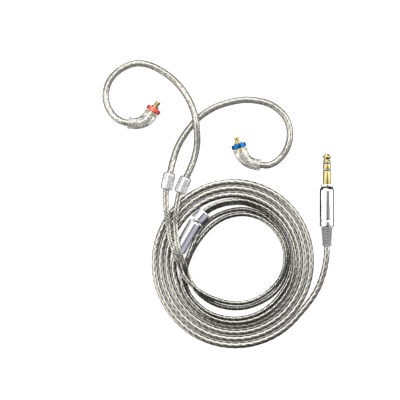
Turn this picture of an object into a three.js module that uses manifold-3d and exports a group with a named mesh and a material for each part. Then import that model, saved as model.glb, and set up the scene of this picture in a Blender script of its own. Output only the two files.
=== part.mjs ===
// Detachable in-ear-monitor cable, coiled as it comes out of its box.
//
// Millimetres, +Z up. The cable lies on Z = 0. Routes and places are drafted about the
// centre of the coil, and the whole model is then moved so that its origin is at the
// middle of its footprint.

import * as THREE from 'three';
import { mergeVertices } from 'three/addons/utils/BufferGeometryUtils.js';
import Module from 'manifold-3d';

const wasm = await Module();
wasm.setup();

// ---------------------------------------------------------------- driving dimensions

const COIL_CENTRE = [6.93, -24.83]; // coil centre, seen from the middle of the footprint

const MAIN_R = 1.3; // four-core main cable
const LEAD_R = 0.92; // thin lead to each ear
const GAP = 0.3; // between pieces that touch

// Main coil: a flat spiral, slightly taller than wide.
const COIL_R0 = 26.47; // radius of the first turn where it starts
const COIL_PITCH = 2.735; // growth in radius for each turn
const COIL_OVAL = 0.4; // how much the turns are stretched along Y
const COIL_FROM = 188; // degrees, counter-clockwise from +X
const COIL_TO = 1400;
const COIL_STEP = 6;
const COIL_BEVEL = 0.6;

// Ear hooks: pre-formed clear tube over the lead.
const HOOK_R = 1.42;
const HOOK_BORE_R = 1.2;

// Beads where each hook tube ends.
const BEAD_R = 2.65;
const BEAD_LENGTH = 7.5;
const BEAD_BORE_R = 1.3; // for the lead, below the shoulder that the hook tube meets
const BEAD_FACE_R = 1.75; // flat ring at each end
const BEAD_ROUNDING = 1.1; // length over which each end narrows
const BEAD_CHAMFER = [0.25, 0.4]; // across and along
const BEAD_SEAT_FROM = 0.1; // shoulder for the hook tube, from the bead's middle
const BEAD_SEAT_ROOM = 0.25; // round the hook tube

// Coaxial snap-on ear connectors.
const CONNECTOR_Z = 3.17;
const RING_R = 3.15;
const RING_BORE_R = 2.0;
const RING_THICKNESS = 1.9;
const PIN_R = 1.12;
const PIN_LENGTH = 3.1; // from the outer face of the colour ring to the tip
const PIN_BORE_R = 0.75;
const PIN_GROOVE_R = 0.88; // where the spring ring turns
const BARREL_R = 1.7; // of the connector inside the colour ring
const BARREL_BACK = -1.6;
const FLANGE_R = 1.75;
const FLANGE = [0.3, 0.7]; // from and to, above the outer face of the colour ring
const PIN_GROOVE = [1.2, 2.1];
const PIN_GROOVE_SLOPES = [0.1, 0.05];
const PIN_TIP_CHAMFER = [0.2, 0.25]; // across and along
const SPRING_RING = { inner: 1.03, outer: 1.28, width: 0.5, opening: 0.35, at: 1.4 };
const INSULATOR_R = 0.62;
const INSULATOR_BORE_R = 0.4;
const INSULATOR_BACK = -0.9;
const INSULATOR_SHORT = 0.4; // below the pin's tip
const CENTRE_CONTACT_R = 0.25;
const CENTRE_CONTACT_BACK = -0.7;
const CENTRE_CONTACT_SHORT = 0.6;
const HOUSING_R = 2.95;
const HOUSING_MOUTH_R = 2.45;
const HOUSING_LIP_R = 2.6;
const HOUSING_BORE_R = 2.0;
const HOUSING_MOUTH_BORE_R = 1.6;
const HOUSING_BEND_R = 7.9;
const HOUSING_STUB = 1.6; // straight part next to the colour ring
const HOUSING_MOUTH = 1.7; // straight part next to the ear hook
const HOUSING_STEPS = 6; // along the bend
const HOUSING_TAPER = 0.8; // part of the bend over which it narrows
const HOUSING_LIP = [0.6, 0.65, 1]; // foot, top and end of the lip, as parts of the mouth

// Splitter and chin slider.
const SPLITTER_R = 2.75;
const SPLITTER_BORE_R = 2.3;
const SPLITTER_LENGTH = 14.4;
const SPLITTER_INSERT_R = 2.05; // bush and grommet inside the shell
const LEAD_SPREAD = 0.75; // of the two leads' cores from the splitter's axis
const CRIMP = { radius: 1.35, from: 4.6, to: 9.6 };
const LOWER_CORE = { radius: 0.6, from: 0.3, to: 5.2 };
const UPPER_CORE = { radius: 0.45, from: 9.2, to: SPLITTER_LENGTH - 0.7 };
const BUSH = { from: 11.6, to: SPLITTER_LENGTH - 0.4, holeR: 0.65 };
const GROMMET = { bore: 0.85, from: 0.3, to: 3.2 };
const SPLITTER_LOWER = [-23.9, 4.7, 2.85];
const SPLITTER_UPPER = [-16.8, 17.2, 4.0];
const SLIDER_R = 2.95;
const SLIDER_LENGTH = 4.95;
const SLIDER_BORE_R = 2.3;
const SLIDER_SHELL_BORE_R = 2.65;
const SLIDER_LINER_WALL = 0.2;
const SLIDER_Z = 4.24;
const SLIDE_ARC_CENTRE = [-0.45, 6.1]; // the two leads curve about this point
const SLIDE_ARC_R = 19.6;
const SLIDE_REST = 135.7; // degrees round that arc

// 3.5 mm plug, lying along +Y beside the coil.
const PLUG_AXIS = [39.6, 3.15]; // x and z
const PLUG_SHELL_R = 3.1;
const PLUG_SHELL_BORE_R = 2.5;
const PLUG_CORE_R = 2.2;
const PLUG_COLLAR_R = 2.65;
const PLUG_CONTACT_R = 1.75;
const PLUG_INSULATOR_R = 1.7;
const PLUG_RELIEF_Y = [7.0, 15.0];
const PLUG_RELIEF_R = [1.95, 2.5]; // at the cable and at the shell
const PLUG_SHELL_Y = [15.3, 32.3];
const PLUG_CONTACT_Y = 32.6;
const PLUG_COLLAR_LENGTH = 0.6;
const PLUG_CORE_INSETS = [3, 0.5]; // from the two ends of the shell

// ---------------------------------------------------------------- routes

// Left lead, from its bead, over the coil, about twice round inside it, then to the slider.
const LEFT_LEAD = [
  [-28.57, 34.5, 2.65], [-29.25, 31.2, 2.68], [-29.5, 27.5, 3.3], [-29.3, 23.6, 4.1], [-28.9, 19.2, 4.3],
  [-28.4, 15, 4.3], [-27.5, 9.5, 5.1], [-25.9, 4.7, 6.6], [-23.7, -0.9, 5.6],
  [-21.8, -5.8, 4.9], [-18.1, -9.8, 4.8], [-14.3, -12.9, 3.9], [-8.1, -15.9, 3],
  [-2.1, -17.4, 2.75], [4, -17.4, 2.6], [9.8, -15.6, 2.1], [15.2, -12.1, 1.6],
  [19.6, -7, 2.25], [21.7, -0.1, 2.6], [21.1, 7.2, 2.72], [17.5, 13.8, 2.65],
  [11.7, 18.5, 2.1], [4.6, 20.6, 1.4], [-2.6, 19.6, 0.97], [-8.6, 16.4, 0.97],
  [-13.3, 11.8, 0.97], [-17.1, 6.4, 0.97], [-19.4, 1.6, 0.97], [-21, -3.9, 0.97],
  [-20.7, -10.1, 0.97], [-18.1, -15.7, 0.97], [-12.2, -21, 0.97], [-5.1, -23.8, 0.97],
  [2.5, -24.2, 0.97], [9.9, -22.2, 0.97], [16.2, -18, 0.97], [21, -12.2, 0.97], [23.9, -6.4, 0.97],
  [25, -0.1, 0.97], [23.9, 8.3, 0.97], [19.9, 15.8, 0.97], [13.5, 21.6, 0.97],
  [6.2, 24.8, 1.15], [1.8, 25.5, 1.9], [-2.8, 25.1, 2.9], [-5.4, 24.5, 3.25],
  [-8.5, 23.4, 3.25], [-11.4, 21.7, 3.25], [-14.1, 19.4, 3.25], [-16.2, 17.2, 3.16],
];

// Right lead, the same way beside or above the left one.
const RIGHT_LEAD = [
  [-22.23, 32.8, 2.65], [-23.5, 29.75, 2.68], [-24.3, 26.6, 3.3], [-24.8, 23.2, 4.1], [-25.1, 19.2, 4.3],
  [-25.3, 15, 4.5], [-24.9, 9.6, 6.1], [-23.6, 4.3, 6.85], [-21.4, -0.9, 5.2],
  [-20.3, -4.7, 3.6], [-18.2, -9.1, 2.9], [-15, -13.6, 2], [-9.1, -17.7, 1.1],
  [-2.4, -19.6, 0.97], [4.4, -19.5, 0.97], [10.9, -17.4, 0.97], [16.9, -13.5, 0.97],
  [21.2, -7.5, 0.97], [23, -0.1, 0.97], [21.9, 7.5, 0.97], [18.4, 14.4, 0.97],
  [12.5, 19.9, 0.97], [4.9, 22.6, 0.97], [-2.9, 21.8, 0.97], [-9.9, 18.6, 0.97],
  [-15, 13.2, 1.5], [-18.1, 6.8, 2.65], [-20, 1.7, 2.95], [-22.5, -4.2, 2.5],
  [-22.1, -10.8, 3.17], [-19, -16.5, 3.17], [-12.8, -22.2, 3.17], [-5.4, -25.3, 3.17],
  [2.7, -25.8, 3.17], [10.6, -23.7, 3.17], [17.3, -19.2, 3.17], [22.4, -13, 3.17], [25, -6.7, 3.17],
  [25.9, -0.1, 3.17], [24.6, 8.5, 3.17], [20.55, 16.4, 3.17], [14.05, 22.5, 3.17],
  [6.4, 25.8, 3.17], [1.9, 26.5, 3.6], [-2.9, 26.1, 4.57], [-5.7, 25.5, 4.95],
  [-8.9, 24.3, 4.95], [-12, 22.6, 4.95], [-14.8, 20.1, 4.95], [-17, 17.7, 4.88],
];

// Ear hooks, from the middle of the bead to the mouth of the connector housing.
const LEFT_HOOK = [
  [-28.42, 35.2, 2.65], [-27.6, 38.5, 2.62], [-27, 41, 2.2], [-26, 44.8, 1.55], [-24.4, 49.4, 1.43],
  [-22, 53.8, 1.43], [-19, 57.9, 1.43], [-14.7, 62.5, 1.43], [-7.7, 66.8, 1.43],
  [0.6, 69.2, 1.43], [7.3, 69.6, 1.43], [15.1, 67.9, 1.43], [20.9, 63.6, 1.43],
  [23.5, 58.3, 1.43], [23.7, 52.8, 1.47], [21.8, 47.4, 1.8], [18.2, 43.3, 2.5],
  [14.7, 41.6, 2.95], [12.8, 41.58, 3.14], [11.16, 41.77, 3.17], [9.17, 41.96, 3.17],
];
const RIGHT_HOOK = [
  [-21.95, 33.5, 2.65], [-20.55, 36.6, 2.62], [-19.05, 39.8, 2.3], [-17.2, 44.8, 1.75], [-16.1, 49.9, 2.1],
  [-16, 54.5, 3.4], [-16.5, 60.2, 4.35], [-17.8, 65.6, 3.4], [-20.2, 70.9, 2],
  [-24.2, 76.4, 1.43], [-29.7, 81.1, 1.43], [-36, 84.45, 1.43], [-42.3, 85.32, 1.43],
  [-48.7, 82.9, 1.43], [-53.4, 78.2, 1.43], [-55.2, 72.6, 1.47], [-54.6, 67.4, 1.8],
  [-52.2, 63.3, 2.5], [-49.5, 61, 2.95], [-47.3, 60.08, 3.14], [-45.6, 59.76, 3.17], [-43.62, 59.47, 3.17],
];

// Main cable between the splitter and the coil, and between the coil and the plug.
const MAIN_START = [[-24.25, 4.1, 2.8], [-25.3, 1.8, 2.2], [-25.95, -0.5, 1.5], [-26.05, -2.65, 1.3]];
const MAIN_TAIL = [
  [27.95, -22.15, 1.3], [30.8, -18.8, 1.3], [33.7, -14.9, 1.3], [36.1, -10.6, 1.5],
  [37.8, -6, 1.9], [38.9, -1.4, 2.5], [39.5, 3, 3], [39.6, 6.7, 3.15],
];

const CONNECTORS = [
  { side: 'left', ringBase: [2.2, 48.85], towards: [-0.31, 0.951], bend: 66.5, turn: 1, ring: 0x1f5fc4 },
  { side: 'right', ringBase: [-35.2, 64.5], towards: [0.529, 0.849], bend: 66.5, turn: -1, ring: 0xc4262c },
];
const BEADS = [
  { side: 'left', centre: [-28.5, 34.8, 2.65], towards: [0.21, 0.978] },
  { side: 'right', centre: [-22.1, 33.1, 2.65], towards: [0.386, 0.922] },
];

// ---------------------------------------------------------------- materials

function finish(color, roughness, metalness, opacity = 1) {
  return new THREE.MeshStandardMaterial({
    color, roughness, metalness, opacity, transparent: opacity < 1,
  });
}

const polishedSteel = finish(0xb9b9c4, 0.15, 1);
const gold = finish(0xd8a94a, 0.25, 1);
const silverWire = finish(0xa9a697, 0.4, 0.6);
const clearTube = finish(0xd5d7d0, 0.1, 0, 0.5);
const whitePlastic = finish(0xf2f2f0, 0.4, 0);
const blackPlastic = finish(0x1c1c1e, 0.5, 0);
const greySilicone = finish(0x55575c, 0.7, 0);
const anodised = (color) => finish(color, 0.35, 0.6);

// ---------------------------------------------------------------- shape helpers

const vector = ([x, y, z = 0]) => new THREE.Vector3(x, y, z);
const curveThrough = (points) => new THREE.CatmullRomCurve3(points.map(vector), false, 'catmullrom', 0.5);

function polygon(path, radius, sides) {
  for (let i = 0; i < sides; i += 1) {
    const angle = (2 * Math.PI * (i + 0.5)) / sides;
    const place = [radius * Math.cos(angle), radius * Math.sin(angle)];
    if (i === 0) path.moveTo(...place);
    else path.lineTo(...place);
  }
  path.closePath();
  return path;
}

// A tube along a route, hollow when it is given a bore.
function tube(points, radius, steps, bore = 0, sides = 8) {
  const section = polygon(new THREE.Shape(), radius, sides);
  if (bore > 0) section.holes.push(polygon(new THREE.Path(), bore, sides));
  const along = { extrudePath: curveThrough(points), steps, bevelEnabled: false };
  return new THREE.ExtrudeGeometry(section, along);
}

// A turned piece about +Y. The outline runs from the bottom of the axis, or of the bore,
// round the outside and back.
function turned(outline, segments = 16) {
  return new THREE.LatheGeometry(outline.map(([r, y]) => new THREE.Vector2(r, y)), segments);
}

// A turned sleeve with chamfered outer edges.
function sleeve(bore, radius, y0, y1, chamfer = 0.2, segments = 16) {
  return turned([
    [bore, y0], [radius - chamfer, y0], [radius, y0 + chamfer],
    [radius, y1 - chamfer], [radius - chamfer, y1], [bore, y1], [bore, y0],
  ], segments);
}

// A turned plug without a bore.
function turnedSolid(radius, y0, y1, chamfer = 0.15, segments = 14) {
  return turned([
    [0, y0], [radius - chamfer, y0], [radius, y0 + chamfer],
    [radius, y1 - chamfer], [radius - chamfer, y1], [0, y1],
  ], segments);
}

function toSolid(geometry) {
  const bare = geometry.index ? geometry.toNonIndexed() : geometry.clone();
  bare.deleteAttribute('normal');
  bare.deleteAttribute('uv');
  const merged = mergeVertices(bare, 1e-4);
  return new wasm.Manifold(new wasm.Mesh({
    numProp: 3,
    vertProperties: new Float32Array(merged.attributes.position.array),
    triVerts: new Uint32Array(merged.index.array),
  }));
}

function fromSolid(solid) {
  const mesh = solid.getMesh();
  const geometry = new THREE.BufferGeometry();
  geometry.setAttribute('position', new THREE.BufferAttribute(new Float32Array(mesh.vertProperties), 3));
  geometry.setIndex(new THREE.BufferAttribute(new Uint32Array(mesh.triVerts), 1));
  return geometry;
}

function named(name, geometry, material) {
  const mesh = new THREE.Mesh(geometry, material);
  mesh.name = name;
  return mesh;
}

// A group whose +Y points along a direction.
function groupAlong(origin, direction) {
  const group = new THREE.Group();
  group.position.copy(vector(origin));
  group.quaternion.setFromUnitVectors(new THREE.Vector3(0, 1, 0), vector(direction).normalize());
  return group;
}

// ---------------------------------------------------------------- main cable

function coilPoint(degrees, offset) {
  const angle = (degrees * Math.PI) / 180;
  const growth = (COIL_PITCH * (degrees - 180)) / 360;
  const radius = COIL_R0 + growth - COIL_OVAL * Math.cos(2 * angle) + offset;
  return new THREE.Vector2(radius * Math.cos(angle), radius * Math.sin(angle));
}

function coilOutline(from, to, offset) {
  const outline = [];
  const steps = Math.round((to - from) / COIL_STEP);
  for (let i = 0; i <= steps; i += 1) {
    outline.push(coilPoint(from + ((to - from) * i) / steps, offset));
  }
  return outline;
}

// The flat coil as one band: its outline follows the outer side of the last turn and the
// inner side of the first, with one step of a cable's width where each of them ends.
function coilBand() {
  const side = MAIN_R - COIL_BEVEL;
  const band = new THREE.Shape(coilOutline(COIL_TO - 360, COIL_TO, side));
  band.holes.push(new THREE.Path(coilOutline(COIL_FROM, COIL_FROM + 360, -side)));
  const geometry = new THREE.ExtrudeGeometry(band, {
    depth: 2 * (MAIN_R - COIL_BEVEL),
    bevelEnabled: true,
    bevelThickness: COIL_BEVEL,
    bevelSize: COIL_BEVEL,
    bevelSegments: 1,
  });
  geometry.translate(0, 0, COIL_BEVEL);
  return geometry;
}

function mainCable() {
  return [
    named('main_cable_start', tube(MAIN_START, MAIN_R, 5), silverWire),
    named('main_cable_coil', coilBand(), silverWire),
    named('main_cable_tail', tube(MAIN_TAIL, MAIN_R, 11), silverWire),
  ];
}

// ---------------------------------------------------------------- ear side

function connectorBody() {
  const outer = RING_THICKNESS; // outer face of the colour ring
  const tip = outer + PIN_LENGTH;
  return turned([
    [PIN_BORE_R, BARREL_BACK], [BARREL_R, BARREL_BACK], [BARREL_R, outer + FLANGE[0]],
    [FLANGE_R, outer + FLANGE[0]], [FLANGE_R, outer + FLANGE[1]], [PIN_R, outer + FLANGE[1]],
    [PIN_R, outer + PIN_GROOVE[0] - PIN_GROOVE_SLOPES[0]], [PIN_GROOVE_R, outer + PIN_GROOVE[0]],
    [PIN_GROOVE_R, outer + PIN_GROOVE[1]], [PIN_R, outer + PIN_GROOVE[1] + PIN_GROOVE_SLOPES[1]],
    [PIN_R, tip - PIN_TIP_CHAMFER[1]], [PIN_R - PIN_TIP_CHAMFER[0], tip],
    [PIN_BORE_R, tip], [PIN_BORE_R, BARREL_BACK],
  ]);
}

// Open spring ring that snaps into the socket and turns in its groove.
function snapRing() {
  const { inner, outer, width, opening, at } = SPRING_RING;
  const ring = new THREE.Shape();
  ring.absarc(0, 0, outer, opening, 2 * Math.PI - opening, false);
  ring.absarc(0, 0, inner, 2 * Math.PI - opening, opening, true);
  ring.closePath();
  const geometry = new THREE.ExtrudeGeometry(ring, { depth: width, bevelEnabled: false, curveSegments: 7 });
  geometry.rotateX(-Math.PI / 2);
  geometry.translate(0, RING_THICKNESS + at, 0);
  return geometry;
}

// Stations along the bent housing, from the colour ring to the mouth for the ear hook.
function housingStations(bend) {
  const angle = THREE.MathUtils.degToRad(bend);
  const stations = [
    { at: [0, -GAP], heading: 0, outer: HOUSING_R, bore: HOUSING_BORE_R },
    { at: [0, -HOUSING_STUB], heading: 0, outer: HOUSING_R, bore: HOUSING_BORE_R },
  ];
  for (let i = 1; i <= HOUSING_STEPS; i += 1) {
    const part = i / HOUSING_STEPS;
    const a = angle * part;
    stations.push({
      at: [HOUSING_BEND_R * (1 - Math.cos(a)), -HOUSING_STUB - HOUSING_BEND_R * Math.sin(a)],
      heading: a,
      outer: HOUSING_R - (HOUSING_R - HOUSING_MOUTH_R) * Math.min(1, part / HOUSING_TAPER),
      bore: i < HOUSING_STEPS - 1 ? HOUSING_BORE_R : HOUSING_MOUTH_BORE_R,
    });
  }
  const last = stations[stations.length - 1];
  const ahead = [Math.sin(angle), -Math.cos(angle)];
  for (const [i, part] of HOUSING_LIP.entries()) {
    stations.push({
      at: [last.at[0] + ahead[0] * HOUSING_MOUTH * part, last.at[1] + ahead[1] * HOUSING_MOUTH * part],
      heading: angle,
      outer: i === 0 ? HOUSING_MOUTH_R : HOUSING_LIP_R,
      bore: HOUSING_MOUTH_BORE_R,
    });
  }
  return stations;
}

// A closed shell swept through the stations: outer skin, inner skin and the two end rings.
function sweptShell(stations, turn, sides = 14) {
  const loops = [
    ...stations.map((station) => [station, station.outer]),
    ...stations.toReversed().map((station) => [station, station.bore]),
  ];
  const positions = [];
  for (const [station, radius] of loops) {
    for (let i = 0; i < sides; i += 1) {
      const angle = (2 * Math.PI * i) / sides;
      const across = radius * Math.cos(angle);
      positions.push(
        turn * (station.at[0] + across * Math.cos(station.heading)),
        station.at[1] + across * Math.sin(station.heading),
        radius * Math.sin(angle),
      );
    }
  }
  const indices = [];
  for (let loop = 0; loop < loops.length; loop += 1) {
    const next = (loop + 1) % loops.length;
    for (let i = 0; i < sides; i += 1) {
      const j = (i + 1) % sides;
      const quad = [loop * sides + i, loop * sides + j, next * sides + j, next * sides + i];
      if (turn < 0) quad.reverse();
      indices.push(quad[0], quad[1], quad[2], quad[0], quad[2], quad[3]);
    }
  }
  const geometry = new THREE.BufferGeometry();
  geometry.setAttribute('position', new THREE.Float32BufferAttribute(positions, 3));
  geometry.setIndex(indices);
  return geometry;
}

// The stripped end of the lead, soldered to the back of the connector.
function solderedTail() {
  return turned([
    [0, -4.4], [0.55, -4.2], [0.8, -3.4], [1.05, -2.6], [0.9, -2.0], [0.4, -1.95], [0.4, -1.1], [0, -1.1],
  ], 14);
}

function connector({ side, ringBase, towards, bend, turn, ring }) {
  const group = groupAlong([...ringBase, CONNECTOR_Z], towards);
  const tip = RING_THICKNESS + PIN_LENGTH;
  const insulatorTip = tip - INSULATOR_SHORT;
  const contactTip = tip - CENTRE_CONTACT_SHORT;
  const insulator = sleeve(INSULATOR_BORE_R, INSULATOR_R, INSULATOR_BACK, insulatorTip, 0.05, 12);
  const contact = turnedSolid(CENTRE_CONTACT_R, CENTRE_CONTACT_BACK, contactTip, 0.08, 10);
  group.add(
    named(`${side}_colour_ring`, sleeve(RING_BORE_R, RING_R, 0, RING_THICKNESS, 0.2, 20), anodised(ring)),
    named(`${side}_connector_body`, connectorBody(), gold),
    named(`${side}_snap_ring`, snapRing(), gold),
    named(`${side}_insulator`, insulator, whitePlastic),
    named(`${side}_centre_contact`, contact, gold),
    named(`${side}_soldered_tail`, solderedTail(), silverWire),
    named(`${side}_connector_housing`, sweptShell(housingStations(bend), turn), clearTube),
  );
  return group;
}

// Clear sleeve where the ear hook ends: its upper bore holds the tube, its lower one the lead.
function bead({ side, centre, towards }) {
  const group = groupAlong(centre, towards);
  const half = BEAD_LENGTH / 2;
  const seatR = HOOK_R + BEAD_SEAT_ROOM;
  const [across, along] = BEAD_CHAMFER;
  const outline = [
    [BEAD_BORE_R, -half], [BEAD_FACE_R, -half], [BEAD_R - across, along - half],
    [BEAD_R, BEAD_ROUNDING - half], [BEAD_R, half - BEAD_ROUNDING],
    [BEAD_R - across, half - along], [BEAD_FACE_R, half], [seatR, half],
    [seatR, BEAD_SEAT_FROM], [BEAD_BORE_R, BEAD_SEAT_FROM], [BEAD_BORE_R, -half],
  ];
  group.add(named(`${side}_bead`, turned(outline, 18), clearTube));
  return group;
}

function earSide(side, hook, lead, steps) {
  return [
    named(`${side}_ear_hook_tube`, tube(hook, HOOK_R, 24, HOOK_BORE_R), clearTube),
    named(`${side}_ear_hook_wire`, tube(hook, LEAD_R, 24), silverWire),
    named(`${side}_lead`, tube(lead, LEAD_R, steps), silverWire),
  ];
}

// ---------------------------------------------------------------- splitter and slider

// Crimped joint of the two leads with the main cable, with their bare cores.
function wireSplice() {
  const crimp = toSolid(turnedSolid(CRIMP.radius, CRIMP.from, CRIMP.to, 0.3));
  const lower = toSolid(turnedSolid(LOWER_CORE.radius, LOWER_CORE.from, LOWER_CORE.to, 0.05, 10));
  const uppers = [-LEAD_SPREAD, LEAD_SPREAD].map((x) => {
    const stub = turnedSolid(UPPER_CORE.radius, UPPER_CORE.from, UPPER_CORE.to, 0.05, 10);
    stub.translate(x, 0, 0);
    return toSolid(stub);
  });
  return fromSolid(uppers.reduce((solid, upper) => solid.add(upper), crimp.add(lower)));
}

// Moulded insert that holds the two leads apart at the upper end.
function splitterBush() {
  const blank = toSolid(turnedSolid(SPLITTER_INSERT_R, BUSH.from, BUSH.to, 0.15, 20));
  const holes = [-LEAD_SPREAD, LEAD_SPREAD].map((x) => {
    const drill = turnedSolid(BUSH.holeR, BUSH.from - GAP, BUSH.to + GAP, 0.05, 10);
    drill.translate(x, 0, 0);
    return toSolid(drill);
  });
  return fromSolid(holes.reduce((solid, hole) => solid.subtract(hole), blank));
}

function splitter() {
  const along = vector(SPLITTER_UPPER).sub(vector(SPLITTER_LOWER)).normalize();
  const group = groupAlong(SPLITTER_LOWER, along.toArray());
  const grommet = sleeve(GROMMET.bore, SPLITTER_INSERT_R, GROMMET.from, GROMMET.to, 0.15, 20);
  group.add(
    named('splitter_shell', sleeve(SPLITTER_BORE_R, SPLITTER_R, 0, SPLITTER_LENGTH, 0.35, 20), polishedSteel),
    named('splitter_bush', splitterBush(), greySilicone),
    named('splitter_grommet', grommet, greySilicone),
    named('wire_splice', wireSplice(), silverWire),
  );
  return group;
}

function chinSlider() {
  const rest = THREE.MathUtils.degToRad(SLIDE_REST);
  const centre = [
    SLIDE_ARC_CENTRE[0] + SLIDE_ARC_R * Math.cos(rest),
    SLIDE_ARC_CENTRE[1] + SLIDE_ARC_R * Math.sin(rest),
    SLIDER_Z,
  ];
  const group = groupAlong(centre, [Math.sin(rest), -Math.cos(rest), 0]);
  const half = SLIDER_LENGTH / 2;
  const shell = sleeve(SLIDER_SHELL_BORE_R, SLIDER_R, -half, half, 0.25, 20);
  const linerR = SLIDER_BORE_R + SLIDER_LINER_WALL;
  const liner = sleeve(SLIDER_BORE_R, linerR, GAP - half, half - GAP, 0.03, 18);
  group.add(
    named('chin_slider_shell', shell, polishedSteel),
    named('chin_slider_liner', liner, greySilicone),
  );
  return group;
}

// ---------------------------------------------------------------- 3.5 mm plug

// Contacts behind the plug's tip and the insulators between them: [name, radius, from, to].
const PLUG_STACK = [
  ['plug_sleeve_contact', PLUG_CONTACT_R, -0.5, 6.3, gold],
  ['plug_rear_insulator', PLUG_INSULATOR_R, 6.45, 7.05, blackPlastic],
  ['plug_ring_contact', PLUG_CONTACT_R, 7.2, 9.3, gold],
  ['plug_front_insulator', PLUG_INSULATOR_R, 9.45, 10.05, blackPlastic],
];

function plugTip() {
  return turned([
    [0, 10.2], [1.7, 10.2], [1.7, 10.7], [1.2, 11.2], [1.3, 11.7], [1.72, 12.3], [1.65, 12.9],
    [0.5, 14], [0, 14],
  ], 14);
}

function plug() {
  const group = new THREE.Group();
  group.position.set(PLUG_AXIS[0], 0, PLUG_AXIS[1]);
  const [relief0, relief1] = PLUG_RELIEF_Y;
  const [shell0, shell1] = PLUG_SHELL_Y;
  const relief = turned([
    [MAIN_R + GAP, relief0], [PLUG_RELIEF_R[0], relief0], [PLUG_RELIEF_R[1], relief1],
    [MAIN_R + GAP, relief1], [MAIN_R + GAP, relief0],
  ]);
  const collar = sleeve(PLUG_CONTACT_R + GAP, PLUG_COLLAR_R, 0, PLUG_COLLAR_LENGTH, 0.1, 16);
  const [coreBack, coreFront] = PLUG_CORE_INSETS;
  const core = turnedSolid(PLUG_CORE_R, shell0 + coreBack, shell1 - coreFront, 0.2, 14);
  const stack = PLUG_STACK.map(([name, radius, y0, y1, material]) => {
    const piece = named(name, turnedSolid(radius, y0, y1, 0.05, 14), material);
    piece.position.y = PLUG_CONTACT_Y;
    return piece;
  });
  const tip = named('plug_tip_contact', plugTip(), gold);
  const front = named('plug_front_collar', collar, polishedSteel);
  tip.position.y = PLUG_CONTACT_Y;
  front.position.y = PLUG_CONTACT_Y;
  group.add(
    named('plug_strain_relief', relief, greySilicone),
    named('plug_shell', sleeve(PLUG_SHELL_BORE_R, PLUG_SHELL_R, shell0, shell1, 0.4, 20), polishedSteel),
    named('plug_core', core, whitePlastic),
    front,
    ...stack,
    tip,
  );
  return group;
}

// ---------------------------------------------------------------- assembly

const cable = new THREE.Group();
cable.position.set(COIL_CENTRE[0], COIL_CENTRE[1], 0);
cable.add(
  ...mainCable(),
  ...earSide('left', LEFT_HOOK, LEFT_LEAD, 66),
  ...earSide('right', RIGHT_HOOK, RIGHT_LEAD, 70),
  ...CONNECTORS.map(connector),
  ...BEADS.map(bead),
  splitter(),
  chinSlider(),
  plug(),
);

export default cable;
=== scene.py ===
"""Coiled cable of a pair of in-ear monitors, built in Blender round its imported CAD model.

Routes and sizes are drafted in millimetres about the centre of the coil, as the CAD model
is, and every mesh is written in metres in the row frame. The cords follow the CAD routes.
Each turned piece repeats its CAD outline with rounded edges and many more segments.
"""
import math
import random

import bmesh
import bpy
import numpy as np
from mathutils import Matrix, Vector


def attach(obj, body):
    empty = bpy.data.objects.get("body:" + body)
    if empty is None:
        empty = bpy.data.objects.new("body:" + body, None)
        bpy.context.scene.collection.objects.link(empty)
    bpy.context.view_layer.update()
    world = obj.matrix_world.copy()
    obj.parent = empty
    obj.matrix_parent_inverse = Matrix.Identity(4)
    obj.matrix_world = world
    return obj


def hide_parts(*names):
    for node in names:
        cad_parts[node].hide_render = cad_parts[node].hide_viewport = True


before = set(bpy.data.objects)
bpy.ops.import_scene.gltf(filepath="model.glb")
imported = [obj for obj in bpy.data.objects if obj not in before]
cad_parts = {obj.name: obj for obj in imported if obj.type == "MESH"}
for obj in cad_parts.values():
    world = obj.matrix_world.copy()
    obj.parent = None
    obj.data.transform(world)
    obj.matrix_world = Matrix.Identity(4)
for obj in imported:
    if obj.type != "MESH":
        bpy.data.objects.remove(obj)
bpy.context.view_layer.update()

MM = 0.001
COIL_CENTRE = (6.93, -24.83)  # coil centre in the row frame, mm

# ---------------------------------------------------------------- driving sizes, mm

MAIN_R = 1.3  # four-core main cable
MAIN_TWIST = 12.8  # length of one turn of its cores
LEAD_R = 0.92  # two-core lead to each ear
LEAD_TWIST = 6.2
PAIR_PLACES = (-1, 3, 34, 44)  # below the bead, where the lead is a flat pair of cores
PAIR_SHARES = (0, 1, 1, 0)
PAIR_WIDTH_PLACES = (18, 27)
PAIR_HALF_WIDTHS = (1.22, 1.06)
PAIR_CORE_SHARE = 0.52  # radius of one core, of the pair's half width

COIL_R0 = 26.47
COIL_PITCH = 2.735
COIL_OVAL = 0.4
COIL_FROM = 188  # degrees
COIL_TO = 1400
COIL_STEP = 10

HOOK_R = 1.42
BEAD_R = 2.65
BEAD_LENGTH = 7.5
BEAD_BORE_R = 1.3
BEAD_FACE_R = 1.75

CONNECTOR_Z = 3.17
RING_R = 3.15
RING_BORE_R = 2.0
RING_THICKNESS = 1.9
PIN_R = 1.12
PIN_LENGTH = 3.1
PIN_BORE_R = 0.75
PIN_GROOVE_R = 0.88
BARREL_R = 1.7
BARREL_BACK = -1.6
FLANGE_R = 1.75
INSULATOR_R = 0.62
INSULATOR_BORE_R = 0.4
CENTRE_CONTACT_R = 0.25
SPRING_RING = {"inner": 1.03, "outer": 1.28, "width": 0.5, "opening": 0.35, "at": 1.4}
HOUSING_R = 2.95
HOUSING_MOUTH_R = 2.45
HOUSING_LIP_R = 2.6
HOUSING_BEND_R = 7.9
HOUSING_STUB = 1.6
HOUSING_MOUTH = 1.7

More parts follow.
